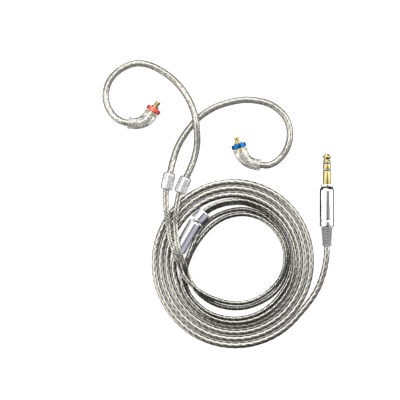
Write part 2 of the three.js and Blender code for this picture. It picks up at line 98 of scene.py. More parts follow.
SPLITTER_R = 2.75
SPLITTER_BORE_R = 2.3
SPLITTER_LENGTH = 14.4
SPLITTER_LOWER = (-23.9, 4.7, 2.85)
SPLITTER_UPPER = (-16.8, 17.2, 4.0)
GROMMET = {"bore": 1.32, "radius": 2.27, "from": 0.25, "to": 3.2}
SLIDER_R = 2.95
SLIDER_LENGTH = 4.95
SLIDER_BORE_R = 2.65
SLIDER_LINER_BORE_R = 2.3
SLIDER_LINER_R = 2.5
SLIDER_Z = 4.24
SLIDE_ARC_CENTRE = (-0.45, 6.1)
SLIDE_ARC_R = 19.6
SLIDE_REST = 135.7  # degrees round that arc

PLUG_AXIS = (39.6, 3.15)  # x and z
PLUG_SHELL_R = 3.1
PLUG_SHELL_BORE_R = 2.5
PLUG_RELIEF_Y = (7.0, 15.0)
PLUG_SHELL_Y = (15.3, 32.3)
PLUG_CONTACT_Y = 32.6
PLUG_CONTACT_R = 1.75
PLUG_INSULATOR_R = 1.7
PLUG_COLLAR_R = 2.65
GAP = 0.3

# ---------------------------------------------------------------- routes, mm, as in the CAD model

LEFT_LEAD = [
    (-28.57, 34.5, 2.65), (-29.25, 31.2, 2.68), (-29.5, 27.5, 3.3), (-29.3, 23.6, 4.1), (-28.9, 19.2, 4.3),
    (-28.4, 15, 4.3), (-27.5, 9.5, 5.1), (-25.9, 4.7, 6.6), (-23.7, -0.9, 5.6),
    (-21.8, -5.8, 4.9), (-18.1, -9.8, 4.8), (-14.3, -12.9, 3.9), (-8.1, -15.9, 3),
    (-2.1, -17.4, 2.75), (4, -17.4, 2.6), (9.8, -15.6, 2.1), (15.2, -12.1, 1.6),
    (19.6, -7, 2.25), (21.7, -0.1, 2.6), (21.1, 7.2, 2.72), (17.5, 13.8, 2.65),
    (11.7, 18.5, 2.1), (4.6, 20.6, 1.4), (-2.6, 19.6, 0.97), (-8.6, 16.4, 0.97),
    (-13.3, 11.8, 0.97), (-17.1, 6.4, 0.97), (-19.4, 1.6, 0.97), (-21, -3.9, 0.97),
    (-20.7, -10.1, 0.97), (-18.1, -15.7, 0.97), (-12.2, -21, 0.97), (-5.1, -23.8, 0.97),
    (2.5, -24.2, 0.97), (9.9, -22.2, 0.97), (16.2, -18, 0.97), (21, -12.2, 0.97), (23.9, -6.4, 0.97),
    (25, -0.1, 0.97), (23.9, 8.3, 0.97), (19.9, 15.8, 0.97), (13.5, 21.6, 0.97),
    (6.2, 24.8, 1.15), (1.8, 25.5, 1.9), (-2.8, 25.1, 2.9), (-5.4, 24.5, 3.25),
    (-8.5, 23.4, 3.25), (-11.4, 21.7, 3.25), (-14.1, 19.4, 3.25), (-16.2, 17.2, 3.16),
]
RIGHT_LEAD = [
    (-22.23, 32.8, 2.65), (-23.5, 29.75, 2.68), (-24.3, 26.6, 3.3), (-24.8, 23.2, 4.1), (-25.1, 19.2, 4.3),
    (-25.3, 15, 4.5), (-24.9, 9.6, 6.1), (-23.6, 4.3, 6.85), (-21.4, -0.9, 5.2),
    (-20.3, -4.7, 3.6), (-18.2, -9.1, 2.9), (-15, -13.6, 2), (-9.1, -17.7, 1.1),
    (-2.4, -19.6, 0.97), (4.4, -19.5, 0.97), (10.9, -17.4, 0.97), (16.9, -13.5, 0.97),
    (21.2, -7.5, 0.97), (23, -0.1, 0.97), (21.9, 7.5, 0.97), (18.4, 14.4, 0.97),
    (12.5, 19.9, 0.97), (4.9, 22.6, 0.97), (-2.9, 21.8, 0.97), (-9.9, 18.6, 0.97),
    (-15, 13.2, 1.5), (-18.1, 6.8, 2.65), (-20, 1.7, 2.95), (-22.5, -4.2, 2.5),
    (-22.1, -10.8, 3.17), (-19, -16.5, 3.17), (-12.8, -22.2, 3.17), (-5.4, -25.3, 3.17),
    (2.7, -25.8, 3.17), (10.6, -23.7, 3.17), (17.3, -19.2, 3.17), (22.4, -13, 3.17), (25, -6.7, 3.17),
    (25.9, -0.1, 3.17), (24.6, 8.5, 3.17), (20.55, 16.4, 3.17), (14.05, 22.5, 3.17),
    (6.4, 25.8, 3.17), (1.9, 26.5, 3.6), (-2.9, 26.1, 4.57), (-5.7, 25.5, 4.95),
    (-8.9, 24.3, 4.95), (-12, 22.6, 4.95), (-14.8, 20.1, 4.95), (-17, 17.7, 4.88),
]
LEFT_HOOK = [
    (-28.42, 35.2, 2.65), (-27.6, 38.5, 2.62), (-27, 41, 2.2), (-26, 44.8, 1.55), (-24.4, 49.4, 1.43),
    (-22, 53.8, 1.43), (-19, 57.9, 1.43), (-14.7, 62.5, 1.43), (-7.7, 66.8, 1.43),
    (0.6, 69.2, 1.43), (7.3, 69.6, 1.43), (15.1, 67.9, 1.43), (20.9, 63.6, 1.43),
    (23.5, 58.3, 1.43), (23.7, 52.8, 1.47), (21.8, 47.4, 1.8), (18.2, 43.3, 2.5),
    (14.7, 41.6, 2.95), (12.8, 41.58, 3.14), (11.16, 41.77, 3.17), (9.17, 41.96, 3.17),
]
RIGHT_HOOK = [
    (-21.95, 33.5, 2.65), (-20.55, 36.6, 2.62), (-19.05, 39.8, 2.3), (-17.2, 44.8, 1.75), (-16.1, 49.9, 2.1),
    (-16, 54.5, 3.4), (-16.5, 60.2, 4.35), (-17.8, 65.6, 3.4), (-20.2, 70.9, 2),
    (-24.2, 76.4, 1.43), (-29.7, 81.1, 1.43), (-36, 84.45, 1.43), (-42.3, 85.32, 1.43),
    (-48.7, 82.9, 1.43), (-53.4, 78.2, 1.43), (-55.2, 72.6, 1.47), (-54.6, 67.4, 1.8),
    (-52.2, 63.3, 2.5), (-49.5, 61, 2.95), (-47.3, 60.08, 3.14), (-45.6, 59.76, 3.17), (-43.62, 59.47, 3.17),
]
MAIN_START = [(-24.25, 4.1, 2.8), (-25.3, 1.8, 2.2), (-25.95, -0.5, 1.5), (-26.05, -2.65, 1.3)]
MAIN_TAIL = [
    (27.95, -22.15, 1.3), (30.8, -18.8, 1.3), (33.7, -14.9, 1.3), (36.1, -10.6, 1.5),
    (37.8, -6, 1.9), (38.9, -1.4, 2.5), (39.5, 3, 3), (39.6, 6.7, 3.15),
]
SIDES = {
    "left": {
        "lead": LEFT_LEAD, "hook": LEFT_HOOK, "ring_base": (2.2, 48.85), "towards": (-0.31, 0.951),
        "bend": 66.5, "turn": 1, "bead": (-28.5, 34.8, 2.65), "bead_towards": (0.21, 0.978),
        "length": 0.4,
    },
    "right": {
        "lead": RIGHT_LEAD, "hook": RIGHT_HOOK, "ring_base": (-35.2, 64.5), "towards": (0.529, 0.849),
        "bend": 66.5, "turn": -1, "bead": (-22.1, 33.1, 2.65), "bead_towards": (0.386, 0.922),
        "length": 0.419,
    },
}

# ---------------------------------------------------------------- paths


def through(points, per_span=8):
    """Points of a uniform Catmull-Rom curve through the given ones."""
    p = np.array([list(q) for q in points], float)
    p = np.vstack([2 * p[0] - p[1], p, 2 * p[-1] - p[-2]])
    fine = []
    for a, b, c, d in zip(p[:-3], p[1:-2], p[2:-1], p[3:]):
        for t in np.arange(per_span) / per_span:
            square = (2 * a - 5 * b + 4 * c - d) * t**2
            cube = (3 * b - a - 3 * c + d) * t**3
            fine.append(0.5 * (2 * b + (c - a) * t + square + cube))
    fine.append(p[-2])
    return np.array(fine)


def evenly(points, step):
    """The same line as points an even step apart."""
    gaps = np.linalg.norm(np.diff(points, axis=0), axis=1)
    along = np.concatenate([[0], np.cumsum(gaps)])
    stations = np.linspace(0, along[-1], max(2, round(along[-1] / step) + 1))
    return np.stack([np.interp(stations, along, points[:, k]) for k in range(3)], axis=1)


def travelled(points):
    """Distance along a line to each of its points."""
    return np.concatenate([[0], np.cumsum(np.linalg.norm(np.diff(points, axis=0), axis=1))])


def row_frame(points):
    """Draft millimetres about the coil's centre, to metres in the row frame."""
    return (np.asarray(points, float) + [COIL_CENTRE[0], COIL_CENTRE[1], 0]) * MM


def coil_turns():
    """The flat spiral of the main cable, from its first turn to its last."""
    points = []
    for degrees in range(COIL_FROM + 4, COIL_TO, COIL_STEP):
        angle = math.radians(degrees)
        radius = COIL_R0 + COIL_PITCH * (degrees - 180) / 360 - COIL_OVAL * math.cos(2 * angle)
        points.append((radius * math.cos(angle), radius * math.sin(angle), MAIN_R))
    return points


def transported_frames(points):
    """Two directions across the line at each point, carried along it without twisting."""
    tangents = np.gradient(points, axis=0)
    tangents /= np.linalg.norm(tangents, axis=1)[:, None]
    across = np.empty_like(points)
    start = np.cross(tangents[0], [0, 0, 1])
    across[0] = start / np.linalg.norm(start)
    for i in range(1, len(points)):
        v = across[i - 1] - tangents[i] * np.dot(across[i - 1], tangents[i])
        across[i] = v / np.linalg.norm(v)
    return across, np.cross(tangents, across)


# ---------------------------------------------------------------- mesh tools


def new_piece(name, vertices, faces, material, body="root", uv=None, sharp=40):
    """A mesh object from vertices in metres in the row frame, with one UV pair for each face corner."""
    mesh = bpy.data.meshes.new(name)
    mesh.from_pydata([tuple(v) for v in vertices], [], [tuple(int(k) for k in f) for f in faces])
    if uv is not None:
        layer = mesh.uv_layers.new(name="UVMap")
        layer.data.foreach_set("uv", np.asarray(uv, np.float32).ravel())
    mesh.polygons.foreach_set("use_smooth", [True] * len(mesh.polygons))
    mesh.set_sharp_from_angle(angle=math.radians(sharp))
    mesh.materials.append(material)
    piece = bpy.data.objects.new(name, mesh)
    bpy.context.scene.collection.objects.link(piece)
    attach(piece, body)
    return piece


def section_loops(count_along, count_round):
    """Quads of a tube whose vertices are stored section by section, and their corners' indices."""
    i, k = np.meshgrid(np.arange(count_along - 1), np.arange(count_round), indexing="ij")
    i, k = i.ravel(), k.ravel()
    k2 = (k + 1) % count_round
    here, ahead = i * count_round, (i + 1) * count_round
    quads = np.stack([here + k, here + k2, ahead + k2, ahead + k], axis=1)
    corners = np.stack([np.stack([k, k + 1, k + 1, k], 1), np.stack([i, i, i + 1, i + 1], 1)], axis=2)
    return quads, corners


def tube_parts(points, radius, sides):
    """Vertices, faces and UVs of a closed tube. radius is a function of distance along and angle.

    U runs once round the section and V is the distance along, in mm.
    """
    along = travelled(points)
    across, above = transported_frames(points)
    angles = 2 * np.pi * np.arange(sides) / sides
    r = radius(along[:, None], angles[None, :]) * np.ones((len(points), sides))
    sideways = (r * np.cos(angles))[:, :, None] * across[:, None, :]
    upward = (r * np.sin(angles))[:, :, None] * above[:, None, :]
    vertices = (points[:, None, :] + (sideways + upward)).reshape(-1, 3)
    quads, corners = section_loops(len(points), sides)
    uv = np.stack([corners[:, :, 0] / sides, along[corners[:, :, 1]]], axis=2).reshape(-1, 2)
    faces = [tuple(q) for q in quads]
    last = (len(points) - 1) * sides
    faces.append(tuple(range(sides))[::-1])
    faces.append(tuple(range(last, last + sides)))
    uv = np.vstack([uv, np.zeros((2 * sides, 2))])
    return vertices, faces, uv


def tube_piece(name, points, radius, sides, material, body="root"):
    vertices, faces, uv = tube_parts(points, radius, sides)
    return new_piece(name, row_frame(vertices), faces, material, body, uv)


def rounded(outline, radius, steps=3):
    """A closed outline of (r, y) points with its corners off the axis rounded."""
    points = [Vector(p) for p in outline]
    smooth = []
    for i, corner in enumerate(points):
        before, after = points[i - 1], points[(i + 1) % len(points)]
        if corner.x < 1e-6:
            smooth.append(corner)
            continue
        reach = min(radius, 0.45 * (before - corner).length, 0.45 * (after - corner).length)
        a = corner + (before - corner).normalized() * reach
        b = corner + (after - corner).normalized() * reach
        for k in range(steps + 1):
            t = k / steps
            smooth.append(a * (1 - t) ** 2 + corner * 2 * t * (1 - t) + b * t**2)
    return smooth


def axis_frame(origin, towards):
    """Matrix that takes +Y to a direction, with +X level and to the right of it."""
    y = Vector(towards if len(towards) == 3 else (*towards, 0)).normalized()
    x = y.cross(Vector((0, 0, 1))).normalized()
    z = x.cross(y)
    return Matrix.Translation(Vector(origin)) @ Matrix((x, y, z)).transposed().to_4x4()


def turned_piece(name, outline, place, material, body="root", edge=0.08, segments=64):
    """A turned piece about its own +Y. U runs round it and V along its outline, in mm."""
    profile = rounded(outline, edge) if edge else [Vector(p) for p in outline]
    count = len(profile)
    lengths = [0.0]
    for i in range(count):
        lengths.append(lengths[-1] + (profile[(i + 1) % count] - profile[i]).length)
    vertices, faces, uv = [], [], []
    for point in profile:
        for k in range(segments):
            angle = 2 * math.pi * k / segments
            local = Vector((point.x * math.cos(angle), point.y, point.x * math.sin(angle)))
            vertices.append(place @ local)
    for i in range(count):
        j = (i + 1) % count
        if profile[i].x < 1e-6 and profile[j].x < 1e-6:
            continue
        for k in range(segments):
            k2 = (k + 1) % segments
            faces.append((i * segments + k, j * segments + k, j * segments + k2, i * segments + k2))
            u, u2 = k / segments, (k + 1) / segments
            uv += [(u, lengths[i]), (u, lengths[i + 1]), (u2, lengths[i + 1]), (u2, lengths[i])]
    piece = new_piece(name, row_frame(vertices), faces, material, body, uv)
    work = bmesh.new()
    work.from_mesh(piece.data)
    bmesh.ops.remove_doubles(work, verts=work.verts, dist=1e-7)
    bmesh.ops.dissolve_degenerate(work, edges=work.edges, dist=1e-8)
    bmesh.ops.recalc_face_normals(work, faces=work.faces)
    work.to_mesh(piece.data)
    work.free()
    return piece


def sleeve(bore, radius, y0, y1):
    return [(bore, y0), (radius, y0), (radius, y1), (bore, y1)]


def rod(radius, y0, y1):
    return [(0, y0), (radius, y0), (radius, y1), (0, y1)]


# ---------------------------------------------------------------- materials


def node_material(name):
    material = bpy.data.materials.new(name)
    material.use_nodes = True
    return material, material.node_tree, material.node_tree.nodes["Principled BSDF"]


def add(tree, kind, operation=None, **inputs):
    """A node with its operation and its inputs, by index. i1=0.5 sets one, i1=a socket links it."""
    node = tree.nodes.new(kind)
    if operation:
        node.operation = operation
    for key, value in inputs.items():
        slot = node.inputs[int(key[1:])]
        if isinstance(value, bpy.types.NodeSocket):
            tree.links.new(value, slot)
        else:
            slot.default_value = value
    return node


def ramp(tree, factor, stops, interpolation="LINEAR"):
    node = tree.nodes.new("ShaderNodeValToRGB")
    tree.links.new(factor, node.inputs[0])
    node.color_ramp.interpolation = interpolation
    elements = node.color_ramp.elements
    while len(elements) < len(stops):
        elements.new(0.5)
    for element, (position, colour) in zip(elements, stops):
        element.position = position
        element.color = (*colour, 1)
    return node.outputs[0]


def uv_wave(tree, turns, per_mm):
    """0 to 1 wave with whole turns round the section and a number of waves for each mm along."""
    uv = tree.nodes.new("ShaderNodeUVMap")
    phase = add(tree, "ShaderNodeVectorMath", "DOT_PRODUCT", i0=uv.outputs[0],
                i1=(2 * math.pi * turns, 2 * math.pi * per_mm, 0))
    wave = add(tree, "ShaderNodeMath", "COSINE", i0=phase.outputs["Value"])
    return add(tree, "ShaderNodeMath", "MULTIPLY_ADD", i0=wave.outputs[0], i1=0.5, i2=0.5).outputs[0]


def uv_noise(tree, around, per_mm, detail=2.0):
    uv = tree.nodes.new("ShaderNodeUVMap")
    scaled = add(tree, "ShaderNodeVectorMath", "MULTIPLY", i0=uv.outputs[0], i1=(around, per_mm, 1))
    noise = add(tree, "ShaderNodeTexNoise")
    tree.links.new(scaled.outputs[0], noise.inputs["Vector"])
    noise.inputs["Scale"].default_value = 1
    noise.inputs["Detail"].default_value = detail
    return noise.outputs[0]


def object_noise(tree, scale, detail=3.0):
    place = tree.nodes.new("ShaderNodeTexCoord")
    noise = add(tree, "ShaderNodeTexNoise")
    tree.links.new(place.outputs["Object"], noise.inputs["Vector"])
    noise.inputs["Scale"].default_value = scale
    noise.inputs["Detail"].default_value = detail
    return noise.outputs[0]


def bump(tree, shader, height, distance, strength=1.0):
    node = tree.nodes.new("ShaderNodeBump")
    node.inputs["Strength"].default_value = strength
    node.inputs["Distance"].default_value = distance
    tree.links.new(height, node.inputs["Height"])
    tree.links.new(node.outputs[0], shader.inputs["Normal"])


def spread(tree, factor, low, high):
    """Map a 0 to 1 value to a range."""
    node = add(tree, "ShaderNodeMapRange")
    tree.links.new(factor, node.inputs[0])
    node.inputs["To Min"].default_value = low
    node.inputs["To Max"].default_value = high
    return node.outputs[0]


def multiply(tree, first, second):
    node = add(tree, "ShaderNodeMix")
    node.data_type = "RGBA"
    node.blend_type = "MULTIPLY"
    node.inputs["Factor"].default_value = 1
    tree.links.new(first, node.inputs[6])
    tree.links.new(second, node.inputs[7])
    return node.outputs[2]


def grey(level):
    return (level, level, level)


def cable_material(name, cores, twist, strands, strands_per_mm, gap_shade, light, valley_shade, coat_ior, relief_mm):
    """Silver-plated strands, laid at a slant in twisted cores, under a smooth clear jacket. The colour
    darkens in the gaps between strands and in the valleys between cores: painted shade.
    """
    material, tree, shader = node_material(name)
    strand = uv_wave(tree, strands, strands_per_mm)
    core = uv_wave(tree, cores, -cores / twist)
    patches = uv_noise(tree, 3, 0.9)
    middle = tuple(0.65 * a + 0.35 * b for a, b in zip(gap_shade, light))
    # Painted shade: the strand stripes fall to a near-black colour in the gaps between strands.
    strand_colour = ramp(tree, strand, [(0, gap_shade), (0.5, middle), (0.9, light)])
    # Painted shade: the colour darkens in the valleys between the twisted cores.
    painted_valley_shade = ramp(tree, core, [(0, grey(valley_shade)), (0.25, grey((1 + valley_shade) / 2)), (0.6, grey(1))])
    patch_shade = ramp(tree, patches, [(0.3, (0.62, 0.61, 0.58)), (0.65, grey(1))])
    colour = multiply(tree, multiply(tree, strand_colour, painted_valley_shade), patch_shade)
    tree.links.new(colour, shader.inputs["Base Color"])
    tree.links.new(spread(tree, patches, 0.2, 0.32), shader.inputs["Roughness"])
    shader.inputs["Metallic"].default_value = 1
    shader.inputs["Coat Weight"].default_value = 1
    shader.inputs["Coat IOR"].default_value = coat_ior
    shader.inputs["Coat Roughness"].default_value = 0.04
    bump(tree, shader, strand, relief_mm * MM, 0.8)
    return material


def metal_material(name, colour, roughness, groove_mm=0.0, wear=0.15):
    """Turned metal: fine lathe lines round the piece, and roughness that varies with handling."""
    material, tree, shader = node_material(name)
    marks = object_noise(tree, 900)
    tint = tuple(c * (1 - wear) for c in colour)
    tree.links.new(ramp(tree, marks, [(0.3, tint), (0.65, colour)]), shader.inputs["Base Color"])
    tree.links.new(spread(tree, marks, roughness * 0.75, roughness * 1.35), shader.inputs["Roughness"])
    shader.inputs["Metallic"].default_value = 1
    if groove_mm:
        bump(tree, shader, uv_noise(tree, 1.5, 14, 3.0), groove_mm * MM, 0.6)
    return material


def clear_material(
    name, colour, rim_shade, roughness, coat_ior, ripple_mm, ripple_scale, transmission, edge=0.6, shine=1.0
):
    """Clear moulded plastic with a bright skin; its colour darkens from the middle to the rims as painted
    shade.

    Rays from lamps pass straight through it, so what is inside is lit.
    """
    material, tree, shader = node_material(name)
    facing = tree.nodes.new("ShaderNodeLayerWeight")
    facing.inputs["Blend"].default_value = 0.5
    # Painted shade: the base colour darkens towards the rims, and more at grazing edges.
    grazing_shade = tuple(c * 0.6 for c in rim_shade)
    tint = ramp(tree, facing.outputs["Facing"], [(edge / 4, colour), (edge, rim_shade), (1, grazing_shade)])
    tree.links.new(tint, shader.inputs["Base Color"])
    shader.inputs["Transmission Weight"].default_value = transmission
    shader.inputs["IOR"].default_value = 1.42
    shader.inputs["Specular IOR Level"].default_value = 0.5 * shine
    shader.inputs["Coat Weight"].default_value = shine
    shader.inputs["Coat IOR"].default_value = coat_ior
    ripple = object_noise(tree, ripple_scale, 2.0)
    tree.links.new(spread(tree, ripple, roughness * 0.6, roughness * 1.4), shader.inputs["Roughness"])
    bump(tree, shader, ripple, ripple_mm * MM, 1.0)
    see = tree.nodes.new("ShaderNodeBsdfTransparent")
    see.inputs["Color"].default_value = (*(c * 0.9 for c in colour), 1)
    rays = tree.nodes.new("ShaderNodeLightPath")
    mix = tree.nodes.new("ShaderNodeMixShader")
    tree.links.new(rays.outputs["Is Shadow Ray"], mix.inputs[0])
    tree.links.new(shader.outputs[0], mix.inputs[1])
    tree.links.new(see.outputs[0], mix.inputs[2])
    tree.links.new(mix.outputs[0], tree.nodes["Material Output"].inputs["Surface"])
    return material


def plastic_material(name, colour, roughness, grain_mm, grain_scale):
    """Moulded plastic or silicone with a fine grain."""
    material, tree, shader = node_material(name)
    grain = object_noise(tree, grain_scale)
    darker = tuple(c * 0.82 for c in colour)
    tree.links.new(ramp(tree, grain, [(0.3, darker), (0.7, colour)]), shader.inputs["Base Color"])
    tree.links.new(spread(tree, grain, roughness * 0.8, min(1, roughness * 1.2)), shader.inputs["Roughness"])
    bump(tree, shader, grain, grain_mm * MM, 0.5)
    return material


# The dark strand colours below are painted shade in the gaps between strands.
STRAND_GAP_SHADE = (0.019, 0.0145, 0.009)
PALE_STRAND = (0.46, 0.44, 0.4)
LEAD_STRAND_GAP_SHADE = (0.04, 0.038, 0.032)
LEAD_PALE_STRAND = (0.31, 0.302, 0.275)
# The valley level sets how dark the painted shade between the twisted cores is.
MAIN_CABLE = cable_material(
    "main_cable_strands", cores=4, twist=MAIN_TWIST, strands=9, strands_per_mm=1.6,
    gap_shade=STRAND_GAP_SHADE, light=PALE_STRAND, valley_shade=0.5, coat_ior=1.8, relief_mm=0.07,
)
LEAD_CABLE = cable_material(
    "lead_strands", cores=2, twist=LEAD_TWIST, strands=7, strands_per_mm=0.7,
    gap_shade=LEAD_STRAND_GAP_SHADE, light=LEAD_PALE_STRAND, valley_shade=0.5, coat_ior=1.6, relief_mm=0.012,
)
POLISHED = metal_material("polished_metal", (0.82, 0.82, 0.87), 0.08, groove_mm=0.002)
GOLD = metal_material("gold_plate", (0.27, 0.225, 0.1), 0.28, groove_mm=0.004)
TINNED = metal_material("tinned_wire", (0.34, 0.33, 0.3), 0.26, groove_mm=0.015)
RED = metal_material("red_anodised", (0.74, 0.12, 0.095), 0.4, groove_mm=0.003)
BLUE = metal_material("blue_anodised", (0.004, 0.065, 0.2), 0.3, groove_mm=0.003)
# The rim colours below are painted shade at the edges of each clear piece.
CLEAR_TUBE = clear_material(
    "clear_tube", colour=(0.94, 0.935, 0.89), rim_shade=(0.21, 0.206, 0.186), roughness=0.17, coat_ior=1.5,
    ripple_mm=0.001, ripple_scale=260, transmission=0.93, edge=0.4, shine=0.4,
)
CLEAR_HOUSING = clear_material(
    "clear_housing", colour=(0.74, 0.74, 0.72), rim_shade=(0.34, 0.34, 0.32), roughness=0.12, coat_ior=1.4,
    ripple_mm=0.1, ripple_scale=900, transmission=0.88,
)
MILKY_BEAD = clear_material(
    "milky_bead", colour=(0.58, 0.57, 0.6), rim_shade=(0.2, 0.2, 0.2), roughness=0.15, coat_ior=1.7,
    ripple_mm=0.05, ripple_scale=500, transmission=0.75,
)
WHITE_PLASTIC = plastic_material("white_plastic", (0.85, 0.85, 0.83), 0.35, 0.004, 2500)
BLACK_PLASTIC = plastic_material("black_plastic", (0.025, 0.025, 0.028), 0.35, 0.004, 2500)
SILICONE = plastic_material("grey_silicone", (0.12, 0.12, 0.13), 0.55, 0.008, 1800)

# ---------------------------------------------------------------- ear side


def housing_axis(side, distance):
    """Point on a housing's axis, a distance from the colour ring towards the ear hook."""
    bend = math.radians(side["bend"])
    arc = HOUSING_BEND_R * bend
    if distance <= HOUSING_STUB:
        x, y = 0.0, -distance
    elif distance <= HOUSING_STUB + arc:
        a = (distance - HOUSING_STUB) / HOUSING_BEND_R
        x = HOUSING_BEND_R * (1 - math.cos(a))
        y = -HOUSING_STUB - HOUSING_BEND_R * math.sin(a)
    else:
        rest = distance - HOUSING_STUB - arc
        x = HOUSING_BEND_R * (1 - math.cos(bend)) + math.sin(bend) * rest
        y = -HOUSING_STUB - HOUSING_BEND_R * math.sin(bend) - math.cos(bend) * rest
    place = axis_frame((*side["ring_base"], CONNECTOR_Z), side["towards"])
    return place @ Vector((side["turn"] * x, y, 0))


def housing_length(side):
    return HOUSING_STUB + HOUSING_BEND_R * math.radians(side["bend"]) + HOUSING_MOUTH


def two_core_radius(along, angle):
    """Oval section of two cores side by side, turning as they twist."""
    return LEAD_R + 0.03 + 0.02 * np.cos(2 * (angle - 2 * np.pi * along / LEAD_TWIST))


def pair_radius(angle, half_width):
    """Section of two cores side by side, each a circle, with a valley between them."""
    core = PAIR_CORE_SHARE * half_width
    shift = half_width - core
    slant = np.minimum(np.abs(np.sin(angle)) * shift / core, 0.98)
    return shift * np.abs(np.cos(angle)) + core * np.sqrt(1 - slant**2)


def level_angle(points):
    """Angle in each carried section at which it points level, across the line."""
    across, above = transported_frames(points)
    level = np.cross(np.gradient(points, axis=0), [0, 0, 1])
    return np.unwrap(np.arctan2((above * level).sum(axis=1), (across * level).sum(axis=1)))


def four_core_radius(along, angle):
    """Section of four cores, turning as they twist."""
    return MAIN_R - 0.04 + 0.035 * np.cos(4 * (angle - 2 * np.pi * along / MAIN_TWIST))


def ear_cord(name, side):
    """One lead from the splitter through the slider and the bead, along the hook, to its connector."""
    inside = [tuple(housing_axis(side, housing_length(side) - d)) for d in (1.2, 2.6)]
    route = list(reversed(side["lead"])) + side["hook"][1:] + inside
    points = evenly(through(route), 0.4)
    stations = travelled(points)
    hook = through(side["hook"])
    bead_at = stations[-1] - travelled(hook)[-1]
    level = level_angle(points)

    def radius(along, angle):
        before_bead = bead_at - along
        flat = np.interp(before_bead, PAIR_PLACES, PAIR_SHARES)
        half_width = np.interp(before_bead, PAIR_WIDTH_PLACES, PAIR_HALF_WIDTHS)
        pair = pair_radius(angle - np.interp(along, stations, level), half_width)
        return (1 - flat) * two_core_radius(along, angle) + flat * pair

    cord = tube_piece(f"{name}_lead_cord", points, radius, 32, LEAD_CABLE)
    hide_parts(f"{name}_lead", f"{name}_ear_hook_wire")
    return cord, points


def hook_tube(name, side):
    """Clear pre-formed tube of one ear hook, with its ends rounded."""
    points = evenly(through(side["hook"]), 0.8)
    end = travelled(points)[-1]

    def radius(along, angle):
        edge = np.minimum(along, end - along)
        return HOOK_R - 0.12 * np.exp(-edge / 0.12)

    piece = tube_piece(f"{name}_ear_hook_clear", points, radius, 32, CLEAR_TUBE)
    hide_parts(f"{name}_ear_hook_tube")
    return piece


def housing_skin(name, side):
    """Clear moulded body between the colour ring and the ear hook, with a lip at its mouth."""
    length = housing_length(side)
    lip = length - 0.62 * HOUSING_MOUTH
    stations = [GAP, 0.45, 0.6] + [0.8 + 0.25 * k for k in range(int((lip - 0.9) / 0.25))]
    stations += [lip, lip + 0.12, lip + 0.2, lip + 0.3, length - 0.3, length - 0.2, length - 0.02]
    points = np.array([tuple(housing_axis(side, d)) for d in stations])

    def radius_at(distance):
        narrowing = 0.8 * (length - HOUSING_STUB - HOUSING_MOUTH)
        taper = min(1, max(0, distance - HOUSING_STUB) / narrowing)
        body = HOUSING_R - (HOUSING_R - HOUSING_MOUTH_R) * (3 * taper**2 - 2 * taper**3)
        if distance < 0.5:
            body -= 0.12 * (0.5 - distance) / 0.2
        if distance >= lip + 0.1:
            body = HOUSING_LIP_R
        if distance > length - 0.06:
            body = HOUSING_LIP_R - 0.3
        return body

    radii = np.array([radius_at(d) for d in stations])[:, None]
    piece = tube_piece(f"{name}_housing_clear", points, lambda along, angle: radii, 40, CLEAR_HOUSING)
    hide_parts(f"{name}_connector_housing")
    return piece


def housing_wires(name, side, seed):
    """The gathered screen of the lead: a crumpled sleeve of strands behind the solder joint."""
    rng = random.Random(seed)
    length = housing_length(side)
    axis = [tuple(housing_axis(side, d)) for d in np.linspace(length - 1.5, 3.1, 40)]
    points = evenly(np.array(axis), 0.16)
    end = travelled(points)[-1]
    waves = [
        (rng.randint(2, 8), rng.uniform(0.8, 4.2), rng.uniform(0, 6.3), rng.uniform(0.05, 0.14))
        for _ in range(14)
    ]

    def radius(along, angle):
        body = 1.0 + 0.75 * np.sin(np.pi * np.clip(along / end, 0, 1)) ** 0.7
        for around, per_mm, phase, depth in waves:
            body = body + depth * np.sin(around * angle + per_mm * along + phase)
        return np.clip(body, 0.5, 2.0)

    piece = tube_piece(f"{name}_housing_screen", points, radius, 48, TINNED)
    return piece


def connector_outline():
    """Barrel inside the colour ring, flange in front of it and grooved pin."""
    outer = RING_THICKNESS
    return [
        (PIN_BORE_R, BARREL_BACK), (BARREL_R, BARREL_BACK), (BARREL_R, outer + 0.3), (FLANGE_R, outer + 0.3),
        (FLANGE_R, outer + 0.7), (PIN_R, outer + 0.7), (PIN_R, outer + 1.1), (PIN_GROOVE_R, outer + 1.2),
        (PIN_GROOVE_R, outer + 2.1), (PIN_R, outer + 2.15), (PIN_R, outer + PIN_LENGTH - 0.25),
        (PIN_R - 0.2, outer + PIN_LENGTH), (PIN_BORE_R, outer + PIN_LENGTH),
    ]


def spring_ring(name, place):
    """Open spring ring in the pin's groove: a flat wire bent round, with its ends apart."""
    size = SPRING_RING
    middle = (size["inner"] + size["outer"]) / 2
    depth = (size["outer"] - size["inner"]) / 2
    y = RING_THICKNESS + size["at"] + size["width"] / 2
    opening = size["opening"]
    angles = np.linspace(opening, 2 * math.pi - opening, 60)
    bent = [Vector((middle * math.cos(a), y, -middle * math.sin(a))) for a in angles]
    points = np.array([tuple(place @ point) for point in bent])
    half_width = size["width"] / 2

    def section(along, angle):
        square = np.maximum(np.abs(np.cos(angle)) / depth, np.abs(np.sin(angle)) / half_width)
        return 0.97 / square

    piece = tube_piece(f"{name}_snap_ring_fine", points, section, 16, GOLD, f"{name}_spring_ring")
    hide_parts(f"{name}_snap_ring")
    return piece


